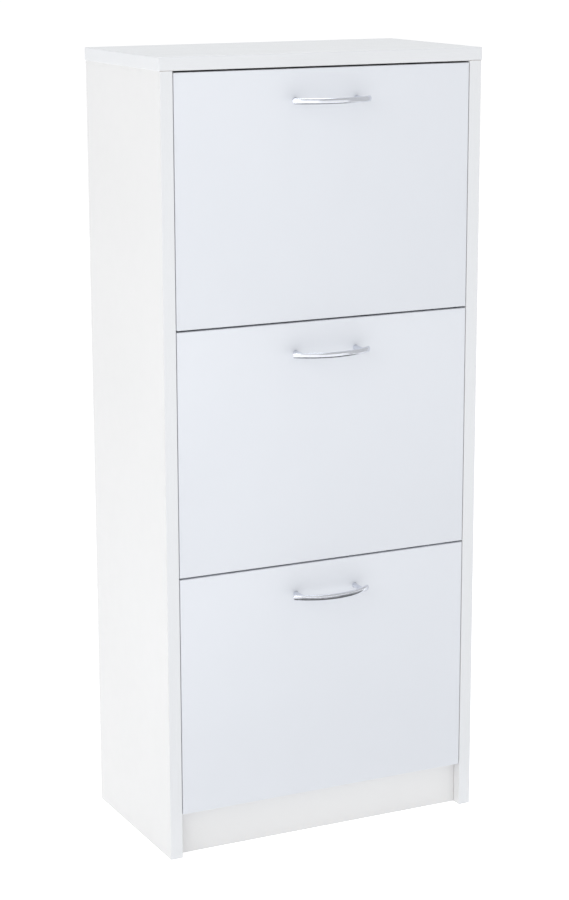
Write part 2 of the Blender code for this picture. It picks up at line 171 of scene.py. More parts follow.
# Colours
WHITE = (1.0, 1.0, 1.0)
CARCASS_WHITE = (0.768, 0.768, 0.77)
# The flaps' and the bands' bluer white is partly their own white and partly painted light: the cast of a cool
# light from the front
FLAP_WHITE = (0.735, 0.757, 0.802)
# Painted light and shade on the flaps, as a share of their colour: lighter at the upper left corner, darker at the
# lower right one
FLAP_PAINTED_LIGHT_SLOPE = 0.07
FLAP_BAND_SHADE = 0.985
BAND_WHITE = (0.762, 0.774, 0.793)
SHEET_WHITE = (0.82, 0.82, 0.81)
CHEEK_GREY = (0.60, 0.61, 0.63)
BUSH_WHITE = (0.76, 0.76, 0.74)
CHIP_DARK, CHIP_PALE = (0.42, 0.29, 0.17), (0.66, 0.50, 0.33)
CHIP_GRAIN, CHIP_GAP = (0.55, 0.40, 0.25), (0.24, 0.15, 0.08)
FIBRE_DARK, FIBRE_PALE = (0.235, 0.140, 0.075), (0.40, 0.265, 0.155)
FIBRE_CLOUD, FIBRE_SPECK = (0.43, 0.30, 0.185), (0.13, 0.075, 0.04)
SHEET_RUBBED = (0.52, 0.42, 0.30)
CHROME_DARK, CHROME_PALE = (0.735, 0.755, 0.81), (0.79, 0.81, 0.865)
CHROME_MARK = (0.70, 0.715, 0.76)
ZINC_BLUE, ZINC_YELLOW = (0.60, 0.63, 0.68), (0.70, 0.67, 0.58)
ZINC_PIT = (0.40, 0.41, 0.43)

# Surfaces: a roughness goes from the glossiest spots to the dullest, a relief is a height in metres,
# and a shade is a share of the surface's own colour
BOARD_FINISH = {"IOR": 1.50, "Specular IOR Level": 0.45}
SHEET_FINISH = {"IOR": 1.48}
PLASTIC_FINISH = {"IOR": 1.49}
METAL = {"Metallic": 1.0}
MOST_NOISE = (0.3, 0.7)
MELAMINE_ROUGHNESS = (0.33, 0.43)
HANDLED_ROUGHNESS = 0.12
BAND_ROUGHNESS = (0.30, 0.40)
CHIPBOARD_ROUGHNESS = 0.85
HARDBOARD_ROUGHNESS = (0.62, 0.78)
SHEET_ROUGHNESS = (0.42, 0.52)
CHEEK_ROUGHNESS = (0.40, 0.50)
BUSH_ROUGHNESS = (0.34, 0.44)
CHROME_ROUGHNESS = (0.15, 0.24)
ZINC_ROUGHNESS = (0.27, 0.45)
PEARL_RELIEF = 0.000012
MELAMINE_SWELL = 0.00004
BAND_LINE_RELIEF = 0.000008
BAND_SWELL = 0.00003
FLAKE_RELIEF = 0.00012
FIBRE_RELIEF = 0.00006
PEEL_RELIEF = 0.00003
SPARK_RELIEF = 0.000022
FLOW_RELIEF = 0.00012
BRUSH_RELIEF = 0.000001
PIT_RELIEF = 0.00001
MELAMINE_SHADES = {"cloud": 0.90, "handled": 0.90, "glue": 0.55, "worn": 0.93}
BAND_SHADES = {"lines": 0.975, "worn": 0.92}
SHEET_SHADES = {"cloud": 0.96, "tracks": 0.93}
PLASTIC_SHADES = {"flow": 0.95, "worn": 1.12}
HANDLED_BORDER = 0.009
GLUE_LINE_STRENGTH = 0.35
FLAKE_SCALE = 1050.0
FLAKE_BEND = 0.0022
FLAKE_GAP = 0.10

# Studio: the sky and the floor, then lights and grey cards by place, target and size
SKY_LIGHT = 0.60
SKY_SEEN = 1.05
FLOOR_REACH = 60.0
FLOOR_GREY = 0.9
FLOOR_ROUGHNESS = 0.9
FLOOR_GLOW = 0.51
LIGHTS = {
    "key": {"place": (-3.0, -1.9, 2.0), "target": (0, 0, 0.6), "size": 2.2, "power": 29, "colour": WHITE},
    "fill": {"place": (-1.4, -3.2, 1.3), "target": (0, 0, 0.6), "size": 2.0, "power": 5, "colour": WHITE},
    "overhead": {"place": (0.2, 0.3, 4.2), "target": (0, 0, 1.15), "size": 2.2, "power": 58,
                 "colour": (0.90, 0.95, 1.0)},
}
CARDS = {
    "floor_flag": {"place": (0.2, FRONT_Y - 0.7, 0.02), "target": (0.2, FRONT_Y - 0.7, 5.0),
                   "size": (2.2, 1.24), "grey": 0.12},
    "right_flag": {"place": (2.0, FRONT_Y - 0.5, 1.2), "target": (0.0, FRONT_Y - 0.5, 1.2),
                   "size": (3.0, 4.0), "grey": 0.55},
}


# ---------------------------------------------------------------- shader nodes

class Shader:
    """One material's node tree, with short calls that add a node and give its output."""

    def __init__(self, name):
        self.material = bpy.data.materials.new(name)
        self.material.use_nodes = True
        self.tree = self.material.node_tree
        self.surface = self.tree.nodes["Principled BSDF"]
        self.place = self.node("ShaderNodeTexCoord", {}, "Object")

    def set(self, socket, value):
        """Link an output to a socket, or give the socket a fixed value."""
        if isinstance(value, bpy.types.NodeSocket):
            self.tree.links.new(value, socket)
        else:
            socket.default_value = value

    def node(self, kind, inputs, output=0, **settings):
        """Add a node and give one of its outputs."""
        node = self.tree.nodes.new(kind)
        for name, value in settings.items():
            setattr(node, name, value)
        for key, value in inputs.items():
            self.set(node.inputs[key], value)
        return node.outputs[output]

    def maths(self, operation, *values):
        """Add a Math node."""
        return self.node("ShaderNodeMath", dict(enumerate(values)), operation=operation)

    def axes(self, vector):
        """Split a vector into X, Y and Z."""
        return list(self.node("ShaderNodeSeparateXYZ", {0: vector}).node.outputs)

    def scaled(self, scale):
        """Object coordinates scaled by a different number along each axis."""
        return self.node("ShaderNodeMapping", {"Vector": self.place, "Scale": scale})

    def noise(self, scale, detail=2.0, place=None):
        """Noise from 0 to 1."""
        inputs = {"Vector": place or self.place, "Scale": scale, "Detail": detail}
        return self.node("ShaderNodeTexNoise", inputs)

    def worn(self):
        """1 on a rounded arris and 0 elsewhere."""
        return self.node("ShaderNodeAttribute", {}, "Fac", attribute_name="arris")

    def ramp(self, value, start, end, low=0.0, high=1.0):
        """Go smoothly from low to high while the value goes from start to end."""
        inputs = {"Value": value, "From Min": start, "From Max": end, "To Min": low, "To Max": high}
        return self.node("ShaderNodeMapRange", inputs, interpolation_type="SMOOTHSTEP")

    def tint(self, factor, first, second):
        """Mix two colours, each a tuple or an output."""
        first, second = [(*c, 1.0) if isinstance(c, tuple) else c for c in (first, second)]
        return self.node("ShaderNodeMix", {0: factor, 6: first, 7: second}, 2, data_type="RGBA")

    def bump(self, height, distance, normal=None):
        """Raise the surface by a distance where the height is 1."""
        inputs = {"Height": height, "Distance": distance, "Strength": 1.0}
        if normal:
            inputs["Normal"] = normal
        return self.node("ShaderNodeBump", inputs)

    def finish(self, colour, roughness, normal, fixed=None):
        """Connect the surface, set its uniform values and give the material."""
        self.set(self.surface.inputs["Base Color"], colour)
        self.set(self.surface.inputs["Roughness"], roughness)
        self.set(self.surface.inputs["Normal"], normal)
        for name, value in (fixed or {}).items():
            self.surface.inputs[name].default_value = value
        return self.material


def shade(colour, factor):
    """A colour made darker or lighter."""
    return tuple(channel * factor for channel in colour)


# ---------------------------------------------------------------- materials

def edge_distance(shader, box):
    """Distance from a point on a box's surface to the nearest arris: the middle of its three insets."""
    insets = []
    for value, low, high in zip(shader.axes(shader.place), *box):
        off_centre = shader.maths("ABSOLUTE", shader.maths("SUBTRACT", value, (low + high) / 2))
        insets.append(shader.maths("SUBTRACT", (high - low) / 2, off_centre))
    a, b, c = insets
    inner = shader.maths("MINIMUM", shader.maths("MAXIMUM", a, b), c)
    return shader.maths("MAXIMUM", shader.maths("MINIMUM", a, b), inner)


def melamine(name, colour, box, painted_light_slope):
    """Melamine face with a fine pearl grain, a joint line along its edge band, and duller borders.

    It carries painted light and shade, which changes its colour by a share from the upper left corner, lighter, to
    the lower right one, darker.
    """
    shader = Shader(name)
    low, high = box
    # Painted light and shade: lighter towards the upper left corner, darker towards the lower right one
    x, _, z = shader.axes(shader.place)
    across = shader.ramp(x, low[0], high[0])
    down = shader.ramp(z, high[2], low[2])
    painted_light_share = shader.maths("MULTIPLY", shader.maths("ADD", across, down), 0.5)
    edge = edge_distance(shader, box)
    cloud = shader.noise(4.0, 3.0)
    smudge = shader.noise(38.0, 4.0)
    grain = shader.noise(1500.0, 2.0)
    swell = shader.noise(170.0, 2.0)
    colour_with_painted_light = shader.tint(painted_light_share, shade(colour, 1 + painted_light_slope / 2), shade(colour, 1 - painted_light_slope / 2))
    cloudy = shader.ramp(cloud, *MOST_NOISE, 0.15, 0.0)
    toned = shader.tint(cloudy, colour_with_painted_light, shade(colour, MELAMINE_SHADES["cloud"]))
    near_edge = shader.ramp(edge, 0.0, HANDLED_BORDER, 1.0, 0.0)
    handled = shader.maths("MULTIPLY", near_edge, shader.ramp(smudge, 0.42, 0.75))
    greyed = shader.maths("MULTIPLY", handled, 0.30)
    toned = shader.tint(greyed, toned, shade(colour, MELAMINE_SHADES["handled"]))
    off_line = shader.maths("ABSOLUTE", shader.maths("SUBTRACT", edge, BAND_THICKNESS))
    line = shader.ramp(off_line, 0.0, GLUE_LINE, GLUE_LINE_STRENGTH, 0.0)
    toned = shader.tint(line, toned, shade(colour, MELAMINE_SHADES["glue"]))
    rubbed = shader.maths("MULTIPLY", shader.worn(), shader.ramp(smudge, 0.35, 0.65, 0.1, 0.6))
    toned = shader.tint(rubbed, toned, shade(colour, MELAMINE_SHADES["worn"]))
    sheen = shader.ramp(shader.noise(55.0, 5.0), *MOST_NOISE, *MELAMINE_ROUGHNESS)
    rough = shader.maths("ADD", sheen, shader.maths("MULTIPLY", handled, HANDLED_ROUGHNESS))
    normal = shader.bump(grain, PEARL_RELIEF, shader.bump(swell, MELAMINE_SWELL))
    return shader.finish(toned, rough, normal, BOARD_FINISH)


def edge_band(name, colour, box):
    """Plastic edge band: fine lines along it, from the roller that pressed it on."""
    shader = Shader(name)
    low, high = box
    sizes = [b - a for a, b in zip(low, high)]
    longest = sizes.index(max(sizes))
    stretch = tuple(0.02 if axis == longest else 1.0 for axis in range(3))
    lines = shader.noise(2400.0, 2.0, shader.scaled(stretch))
    smudge = shader.noise(45.0, 4.0)
    toned = shader.tint(shader.ramp(lines, 0.25, 0.75), shade(colour, BAND_SHADES["lines"]), colour)
    rubbed = shader.maths("MULTIPLY", shader.worn(), shader.ramp(smudge, 0.35, 0.65, 0.05, 0.5))
    toned = shader.tint(rubbed, toned, shade(colour, BAND_SHADES["worn"]))
    rough = shader.ramp(smudge, *MOST_NOISE, *BAND_ROUGHNESS)
    normal = shader.bump(lines, BAND_LINE_RELIEF, shader.bump(shader.noise(260.0), BAND_SWELL))
    return shader.finish(toned, rough, normal, BOARD_FINISH)


def chipboard(name, box):
    """Raw chipboard edge: flakes that lie flat, with small gaps between them."""
    shader = Shader(name)
    low, high = box
    sizes = [b - a for a, b in zip(low, high)]
    thin = sizes.index(min(sizes))
    squash = tuple(1.0 if axis == thin else 0.42 for axis in range(3))
    place = shader.scaled(squash)
    warp = shader.node("ShaderNodeTexNoise", {"Vector": place, "Scale": 700.0, "Detail": 3.0}, "Color")
    bent = shader.node("ShaderNodeVectorMath", {0: warp, 1: (FLAKE_BEND,) * 3, 2: place},
                       operation="MULTIPLY_ADD")
    flakes = shader.node("ShaderNodeTexVoronoi", {"Vector": bent, "Scale": FLAKE_SCALE}, "Color")
    flake_tone = shader.axes(flakes)[0]
    border = shader.node("ShaderNodeTexVoronoi", {"Vector": bent, "Scale": FLAKE_SCALE}, "Distance",
                         feature="DISTANCE_TO_EDGE")
    wood = shader.tint(flake_tone, CHIP_DARK, CHIP_PALE)
    wood = shader.tint(shader.ramp(shader.noise(2600.0, 3.0, place), 0.3, 0.8), wood, CHIP_GRAIN)
    gap = shader.ramp(border, 0.0, FLAKE_GAP, 1.0, 0.0)
    colour = shader.tint(shader.maths("MULTIPLY", gap, 0.45), wood, CHIP_GAP)
    height = shader.maths("SUBTRACT", shader.maths("MULTIPLY", flake_tone, 0.6), gap)
    return shader.finish(colour, CHIPBOARD_ROUGHNESS, shader.bump(height, FLAKE_RELIEF))


def raw_hardboard(name):
    """Brown rear of a hardboard sheet: matted fibres with darker specks."""
    shader = Shader(name)
    fibres = shader.noise(900.0, 6.0, shader.scaled((1.0, 1.0, 0.30)))
    cross = shader.noise(900.0, 6.0, shader.scaled((0.30, 1.0, 1.0)))
    mat = shader.maths("MULTIPLY", shader.maths("ADD", fibres, cross), 0.5)
    cloud = shader.noise(7.0, 4.0)
    colour = shader.tint(shader.ramp(mat, 0.35, 0.65), FIBRE_DARK, FIBRE_PALE)
    colour = shader.tint(shader.ramp(cloud, *MOST_NOISE, 0.0, 0.35), colour, FIBRE_CLOUD)
    specks = shader.ramp(shader.noise(420.0, 2.0), 0.70, 0.78, 0.0, 0.5)
    colour = shader.tint(specks, colour, FIBRE_SPECK)
    rough = shader.ramp(mat, *MOST_NOISE, *HARDBOARD_ROUGHNESS)
    return shader.finish(colour, rough, shader.bump(mat, FIBRE_RELIEF))


def lacquered_sheet(name, colour):
    """Lacquered face of a thin sheet: orange-peel finish with faint roller tracks."""
    shader = Shader(name)
    peel = shader.noise(330.0, 3.0)
    tracks = shader.noise(60.0, 3.0, shader.scaled((1.0, 1.0, 0.06)))
    cloud = shader.noise(9.0, 3.0)
    toned = shader.tint(shader.ramp(cloud, *MOST_NOISE), shade(colour, SHEET_SHADES["cloud"]), colour)
    rolled = shader.ramp(tracks, 0.45, 0.75, 0.0, 0.25)
    toned = shader.tint(rolled, toned, shade(colour, SHEET_SHADES["tracks"]))
    toned = shader.tint(shader.maths("MULTIPLY", shader.worn(), 0.5), toned, SHEET_RUBBED)
    rough = shader.ramp(tracks, *MOST_NOISE, *SHEET_ROUGHNESS)
    return shader.finish(toned, rough, shader.bump(peel, PEEL_RELIEF), SHEET_FINISH)


def moulded_plastic(name, colour, roughness):
    """Injection-moulded plastic: spark-eroded grain, faint flow marks and rubbed arrises."""
    shader = Shader(name)
    grain = shader.noise(2200.0, 3.0)
    flow = shader.noise(26.0, 4.0, shader.scaled((1.0, 0.35, 1.0)))
    toned = shader.tint(shader.ramp(flow, *MOST_NOISE), shade(colour, PLASTIC_SHADES["flow"]), colour)
    uneven = shader.ramp(shader.noise(120.0, 3.0), *MOST_NOISE, 0.2, 0.8)
    rubbed = shader.maths("MULTIPLY", shader.worn(), uneven)
    toned = shader.tint(rubbed, toned, shade(colour, PLASTIC_SHADES["worn"]))
    rough = shader.ramp(flow, *MOST_NOISE, *roughness)
    normal = shader.bump(grain, SPARK_RELIEF, shader.bump(flow, FLOW_RELIEF))
    return shader.finish(toned, rough, normal, PLASTIC_FINISH)


def satin_chrome(name):
    """Satin chrome plate: even and bright, with very fine lengthwise brushing and faint finger marks."""
    shader = Shader(name)
    brushed = shader.noise(5200.0, 2.0, shader.scaled((0.03, 0.3, 1.0)))
    marks = shader.noise(130.0, 5.0)
    colour = shader.tint(shader.ramp(brushed, *MOST_NOISE), CHROME_DARK, CHROME_PALE)
    colour = shader.tint(shader.ramp(marks, 0.52, 0.70, 0.0, 0.35), colour, CHROME_MARK)
    rough = shader.ramp(marks, 0.35, 0.70, *CHROME_ROUGHNESS)
    return shader.finish(colour, rough, shader.bump(brushed, BRUSH_RELIEF), METAL)


def zinc_plate(name):
    """Zinc-plated steel: pale grey with a blue and a yellow cast, a little cloudy."""
    shader = Shader(name)
    cast = shader.noise(420.0, 3.0)
    pits = shader.noise(2600.0, 3.0)
    colour = shader.tint(shader.ramp(cast, 0.35, 0.65), ZINC_BLUE, ZINC_YELLOW)
    colour = shader.tint(shader.ramp(pits, 0.55, 0.75, 0.0, 0.5), colour, ZINC_PIT)
    rough = shader.ramp(pits, *MOST_NOISE, *ZINC_ROUGHNESS)
    return shader.finish(colour, rough, shader.bump(pits, PIT_RELIEF), METAL)


# ---------------------------------------------------------------- meshes

def stand_in(piece, node):
    """Show a piece instead of a node: it rides on the node's body, and the node is hidden."""
    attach(piece, NODE_BODY[node])
    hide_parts(node)


def link(name, mesh, materials):
    """Put a mesh in the scene with its materials."""
    for material in materials:
        mesh.materials.append(material)
    obj = bpy.data.objects.new(name, mesh)
    bpy.context.scene.collection.objects.link(obj)
    return obj


def to_mesh(solid, name):
    """Turn a bmesh into a mesh and free it."""
    mesh = bpy.data.meshes.new(name)
    solid.to_mesh(mesh)
    solid.free()
    return mesh


def settle(obj):
    """Apply an object's modifiers."""
    evaluated = obj.evaluated_get(bpy.context.evaluated_depsgraph_get())
    mesh = bpy.data.meshes.new_from_object(evaluated)
    obj.modifiers.clear()
    obj.data = mesh
    drop_slivers(mesh)


def drop_slivers(mesh):
    """Take out the faces without area and the edges without length that a boolean or a bevel leaves."""
    solid = bmesh.new()
    solid.from_mesh(mesh)
    bmesh.ops.dissolve_degenerate(solid, dist=SLIVER, edges=solid.edges)
    solid.to_mesh(mesh)
    solid.free()


def combine(obj, tools, operation):
    """Cut tools out of an object or join them on, apply the result and delete the tools."""
    for tool in tools:
        boolean = obj.modifiers.new(tool.name, "BOOLEAN")
        boolean.operation = operation
        boolean.object = tool
        boolean.solver = "EXACT"
    settle(obj)
    for tool in tools:
        bpy.data.objects.remove(tool)


def smooth(obj):
    """Shade an object smooth over its rounded edges and flat over its faces."""
    obj.data.shade_smooth()
    obj.data.set_sharp_from_angle(angle=SMOOTH_ANGLE)
    weighted = obj.modifiers.new("flat_faces", "WEIGHTED_NORMAL")
    weighted.keep_sharp = True
    weighted.weight = 100
    return obj


def round_over(solid, edges, width, steps):
    """Round edges over and mark the new faces as arris, which the materials wear a little."""
    mark = solid.faces.layers.float.new("arris")
    rounded = bmesh.ops.bevel(solid, geom=edges, offset=width, segments=steps, profile=0.5,
                              affect="EDGES", clamp_overlap=True)
    for face in rounded["faces"]:
        face[mark] = 1.0


def cylinder_tool(centre, radius, depth, axis, look):
    """Round cutter along an axis, whose cut faces take the material at the given place in the list."""
    turn = {"X": Matrix.Rotation(math.pi / 2, 4, "Y"), "Y": Matrix.Rotation(math.pi / 2, 4, "X")}[axis]
    solid = bmesh.new()
    bmesh.ops.create_cone(solid, cap_ends=True, segments=HOLE_STEPS, radius1=radius, radius2=radius,
                          depth=depth, matrix=Matrix.Translation(centre) @ turn)
    for face in solid.faces:
        face.material_index = look
    return link("round_cutter", to_mesh(solid, "round_cutter"), [])


def box_solid(low, high):
    """Bmesh box between two corners."""
    solid = bmesh.new()
    bmesh.ops.create_cube(solid, size=1.0)
    bmesh.ops.scale(solid, vec=[b - a for a, b in zip(low, high)], verts=solid.verts)
    bmesh.ops.translate(solid, vec=[(a + b) / 2 for a, b in zip(low, high)], verts=solid.verts)
    return solid


def extruded(outline, start, end):
    """Bmesh prism: an outline of (y, z) points run along X."""
    solid = bmesh.new()
    base = solid.faces.new([solid.verts.new((start, y, z)) for y, z in outline])
    moved = bmesh.ops.extrude_face_region(solid, geom=[base])["geom"]
    bmesh.ops.translate(solid, vec=(end - start, 0, 0),
                        verts=[v for v in moved if isinstance(v, bmesh.types.BMVert)])
    bmesh.ops.recalc_face_normals(solid, faces=solid.faces)
    return solid


def arc(centre, radius, start, end, steps):
    """Points on an arc, from the start angle to the end angle."""
    angles = [start + (end - start) * i / steps for i in range(steps + 1)]
    return [(centre[0] + radius * math.cos(a), centre[1] + radius * math.sin(a)) for a in angles]


def turned(name, profile, steps):
    """Spin a line of (radius, height) points about Z. It starts and ends on the axis."""
    solid = bmesh.new()
    points = [solid.verts.new((radius, 0.0, height)) for radius, height in profile]
    line = [solid.edges.new(pair) for pair in zip(points, points[1:])]
    bmesh.ops.spin(solid, geom=points + line, cent=(0, 0, 0), axis=(0, 0, 1), angle=math.tau, steps=steps,
                   use_merge=True)
    bmesh.ops.remove_doubles(solid, verts=solid.verts, dist=MERGE_DISTANCE)
    bmesh.ops.recalc_face_normals(solid, faces=solid.faces)
    return to_mesh(solid, name)


# ---------------------------------------------------------------- boards

def facing(polygon):
    """The direction that a face looks in most."""
    return max(DIRECTIONS, key=lambda way: polygon.normal.dot(Vector(DIRECTIONS[way])))


def end_look(way, banded, raw):
    """Which of a board's materials the face that looks in a direction has."""
    if way in banded:
        return BAND
    return RAW if way in raw else FACE


def fine_board(node, looks, banded, raw, box=None, arris=ARRIS):
    """Board with rounded arrises and square-cut raw ends.

    Its looks are the materials of its face, its banded ends and its raw ends, in that order, and the
    banded and the raw ends are given by their directions.
    """
    solid = box_solid(*(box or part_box(node)))
    eased = [edge for edge in solid.edges
             if not any(facing(polygon) in raw for polygon in edge.link_faces)]
    round_over(solid, eased, arris, ARRIS_STEPS)
    for polygon in solid.faces:
        polygon.material_index = end_look(facing(polygon), banded, raw)
    return link(node + "_fine", to_mesh(solid, node), looks)


def stock(node, face, band, box=None, painted_light_slope=0.0):
    """The three materials of one board: its face, its edge band and its raw chipboard."""
    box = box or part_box(node)
    return (melamine(node + "_melamine", face, box, painted_light_slope), edge_band(node + "_band", band, box),
            chipboard(node + "_chipboard", box))


def rebate_cutter(board_low, board_high, inner, sign):
    """Cutter for the rebate that the back panel lies in, along a side panel's inner rear arris."""
    back_low, back_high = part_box("back_panel")
    edge = back_high.x if sign > 0 else back_low.x
    beyond = inner - sign * CUT_MARGIN
    solid = box_solid((min(beyond, edge), back_low.y, board_low.z - CUT_MARGIN),
                      (max(beyond, edge), back_high.y + CUT_MARGIN, board_high.z + CUT_MARGIN))
    for polygon in solid.faces:
        polygon.material_index = RAW
    return link("rebate_cutter", to_mesh(solid, "rebate_cutter"), [])


def side_panel(side, sign):
    """Side panel up to the top panel, with its rebate for the back and the holes for bushes and pegs."""
    node = "side_panel_" + side
    low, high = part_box(node)
    high.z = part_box("top_panel")[0].z
    looks = stock(node, CARCASS_WHITE, BAND_WHITE, (low, high))
    board = fine_board(node, looks, ("-Y",), ("+Y", "-Z", "+Z"), (low, high))
    inner = low.x if sign > 0 else high.x
    tools = [rebate_cutter(low, high, inner, sign)]
    for flap in FLAPS:
        bush_low, bush_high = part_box(f"pivot_bush_{flap}_{side}")
        peg_low, peg_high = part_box(f"stop_peg_{flap}_{side}")
        holes = (((bush_low + bush_high) / 2, BUSH_HOLE_RADIUS, BUSH_HOLE_DEPTH),
                 ((peg_low + peg_high) / 2, (peg_high.z - peg_low.z) / 2, PEG_HOLE_DEPTH))
        for centre, radius, depth in holes:
            centre.x = inner
            tools.append(cylinder_tool(centre, radius, 2 * depth, "X", RAW))
    combine(board, tools, "DIFFERENCE")
    stand_in(smooth(board), node)


def carcass():
    """All the fixed boards."""
    for side, sign in SIDES.items():
        side_panel(side, sign)
    looks = stock("top_panel", CARCASS_WHITE, BAND_WHITE)
    top = fine_board("top_panel", looks, ("-Y", "-X", "+X"), ("+Y",), arris=TOP_ARRIS)
    stand_in(smooth(top), "top_panel")
    looks = stock("plinth", CARCASS_WHITE, BAND_WHITE)
    stand_in(smooth(fine_board("plinth", looks, ("-Z", "+Z"), ("-X", "+X"))), "plinth")
    for node in SHELVES:
        looks = stock(node, CARCASS_WHITE, BAND_WHITE)
        stand_in(smooth(fine_board(node, looks, ("-Y",), ("-X", "+X", "+Y"))), node)


def nail_places():
    """Where the back panel is nailed, as (x, z): down both sides and along each shelf."""
    low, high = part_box("back_panel")
    left, right = low.x + NAIL_INSET, high.x - NAIL_INSET
    bottom, top = low.z + 2 * NAIL_INSET, high.z - 2 * NAIL_INSET
    rows = int((top - bottom) / NAIL_SPACING)
    columns = int((right - left) / NAIL_SPACING)
    heights = [bottom + (top - bottom) * i / rows for i in range(rows + 1)]
    across = [left + (right - left) * i / columns for i in range(1, columns)]
    places = [(x, z) for x in (left, right) for z in heights]
    for shelf in SHELVES:
        shelf_low, shelf_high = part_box(shelf)
        places += [(x, (shelf_low.z + shelf_high.z) / 2) for x in across]
    return places


def back_panel():
    """Hardboard back, lacquered inside and raw outside, with a dimple at each nail."""
    node = "back_panel"
    looks = (raw_hardboard("hardboard_rear"), lacquered_sheet("hardboard_front", SHEET_WHITE))
    sheet = fine_board(node, looks, ("-Y",), (), arris=THIN_ARRIS)
    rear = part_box(node)[1].y
    dimples = [cylinder_tool(Vector((x, rear, z)), DIMPLE_RADIUS, 2 * DIMPLE_DEPTH, "Y", FACE)
               for x, z in nail_places()]
    combine(sheet, dimples, "DIFFERENCE")
    stand_in(smooth(sheet), node)


def back_nails():
    """The nails of the back panel, each with a low domed head in its dimple."""
    node = "back_panel"
    point = (1 - NAIL_POINT_SHARE) * NAIL_LENGTH
    shank = [(0, -NAIL_LENGTH), (NAIL_SHANK_RADIUS, -point), (NAIL_SHANK_RADIUS, -NAIL_HEAD)]
    head = [(NAIL_RADIUS * 0.93, -NAIL_HEAD), (NAIL_RADIUS, -NAIL_HEAD / 2), (NAIL_RADIUS * 0.85, 0),
            (NAIL_RADIUS * 0.5, NAIL_HEAD / 5), (0, NAIL_HEAD / 4)]
    nail = turned("nail", shank + head, NAIL_STEPS)
    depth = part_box(node)[1].y - NAIL_HEAD / 4 - NAIL_SUNK
    solid = bmesh.new()
    for x, z in nail_places():
        start = len(solid.verts)
        solid.from_mesh(nail)
        solid.verts.ensure_lookup_table()
        place = Matrix.Translation((x, depth, z)) @ Matrix.Rotation(-math.pi / 2, 4, "X")
        bmesh.ops.transform(solid, matrix=place, verts=solid.verts[start:])
    nails = link("back_nails", to_mesh(solid, "back_nails"), [zinc_plate("nail_zinc")])
    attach(smooth(nails), NODE_BODY[node])


# ---------------------------------------------------------------- flaps

def door(flap):
    """Front board of one flap, with its screw holes."""
    node = "door_panel_" + flap
    # The flap's face carries painted light and shade, lighter at its upper left, darker at its lower right
    looks = stock(node, FLAP_WHITE, shade(FLAP_WHITE, FLAP_BAND_SHADE), painted_light_slope=FLAP_PAINTED_LIGHT_SLOPE)
    board = fine_board(node, looks, ("-X", "+X", "-Z", "+Z"), ())
    low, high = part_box(node)
    tools = []
    for side in SIDES:
        centre = sum(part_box(f"handle_screw_{flap}_{side}"), Vector()) / 2
        centre.y = high.y
        tools.append(cylinder_tool(centre, HANDLE_HOLE_RADIUS, 3 * (high.y - low.y), "Y", RAW))
        for place in ("lower", "upper"):
            centre = sum(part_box(f"cheek_screw_{flap}_{side}_{place}"), Vector()) / 2
            centre.y = high.y
            tools.append(cylinder_tool(centre, PILOT_HOLE_RADIUS, 2 * PILOT_HOLE_DEPTH, "Y", RAW))
    combine(board, tools, "DIFFERENCE")
    stand_in(smooth(board), node)


def bow_point(half_chord, tip_reach, reach, share):
    """Point on a bow seen from above, at a share from -1 at its left tip to 1 at its right one.

    The bow stands off the line y = 0 by its reach at its middle, and by its tip reach at its tips.
    """
    rise = reach - tip_reach
    radius = (half_chord ** 2 + rise ** 2) / (2 * rise)
    angle = share * math.asin(half_chord / radius)
    return Vector((radius * math.sin(angle), radius - reach - radius * math.cos(angle)))


def strap_section(depth, height):
    """Outline of the strap with elliptical corners, as (share of the depth from the inside, z)."""
    flat_x = depth / 2 - STRAP_CORNER_DEPTH
    flat_z = height / 2 - STRAP_CORNER_HEIGHT
    points = []
    corners = ((flat_x, flat_z), (-flat_x, flat_z), (-flat_x, -flat_z), (flat_x, -flat_z))
    for quarter, (x, z) in enumerate(corners):
        corner = arc((0, 0), 1.0, quarter * math.pi / 2, (quarter + 1) * math.pi / 2, CORNER_STEPS)
        points += [(x + STRAP_CORNER_DEPTH * a, z + STRAP_CORNER_HEIGHT * b) for a, b in corner]
    return [(x / depth + 0.5, z) for x, z in points]


def strap_rings(half_length):
    """Where the strap's rings stand, as (share from -1 to 1, share of the full height).

    They stand closer together in its tips, which are rounded.
    """
    tip = TIP_ROUND / half_length
    turns = [math.pi / 2 * i / TIP_STEPS for i in range(TIP_STEPS + 1)]
    ends = [(1 - tip + tip * math.sin(turn), 1 - TIP_CUT * (1 - math.cos(turn))) for turn in turns]
    middle = [((1 - tip) * (2 * i / HANDLE_STEPS - 1), 1.0) for i in range(1, HANDLE_STEPS)]
    return [(-share, height) for share, height in reversed(ends)] + middle + ends


def strap(name, middle, half_length, reach, height):
    """Strap swept between an outer and an inner bow, with softly rounded corners."""
    solid = bmesh.new()
    rings = []
    for share, height_share in strap_rings(half_length):
        outer = bow_point(half_length, HANDLE_TIP_REACH, reach, share)
        inner = bow_point(HANDLE_INNER_HALF, HANDLE_INNER_TIP_REACH, HANDLE_INNER_REACH, share)
        ring = []
        for depth, z in strap_section((outer - inner).length, height):
            x, y = inner.lerp(outer, depth)
            ring.append(solid.verts.new(middle + Vector((x, y, z * height_share))))
        rings.append(ring)
    for ring, following in zip(rings, rings[1:]):
        for i, vertex in enumerate(ring):
            before = i - 1
            solid.faces.new((ring[before], vertex, following[i], following[before]))
    solid.faces.new(rings[0])
    solid.faces.new(rings[-1])
    bmesh.ops.recalc_face_normals(solid, faces=solid.faces)
    return to_mesh(solid, name)


def handle_post(place, material):
    """Round post with a small foot, standing off the flap at a place on its face."""
    neck = POST_RADIUS - POST_FLARE
    profile = [(0, POST_LENGTH), (neck, POST_LENGTH), (neck, 3 * POST_FLARE), (POST_RADIUS, POST_FLARE),
               (POST_RADIUS, 0), (0, 0)]
    post = link("post", turned("post", profile, POST_STEPS), [material])
    post.matrix_world = Matrix.Translation(place) @ Matrix.Rotation(math.pi / 2, 4, "X")
    return post


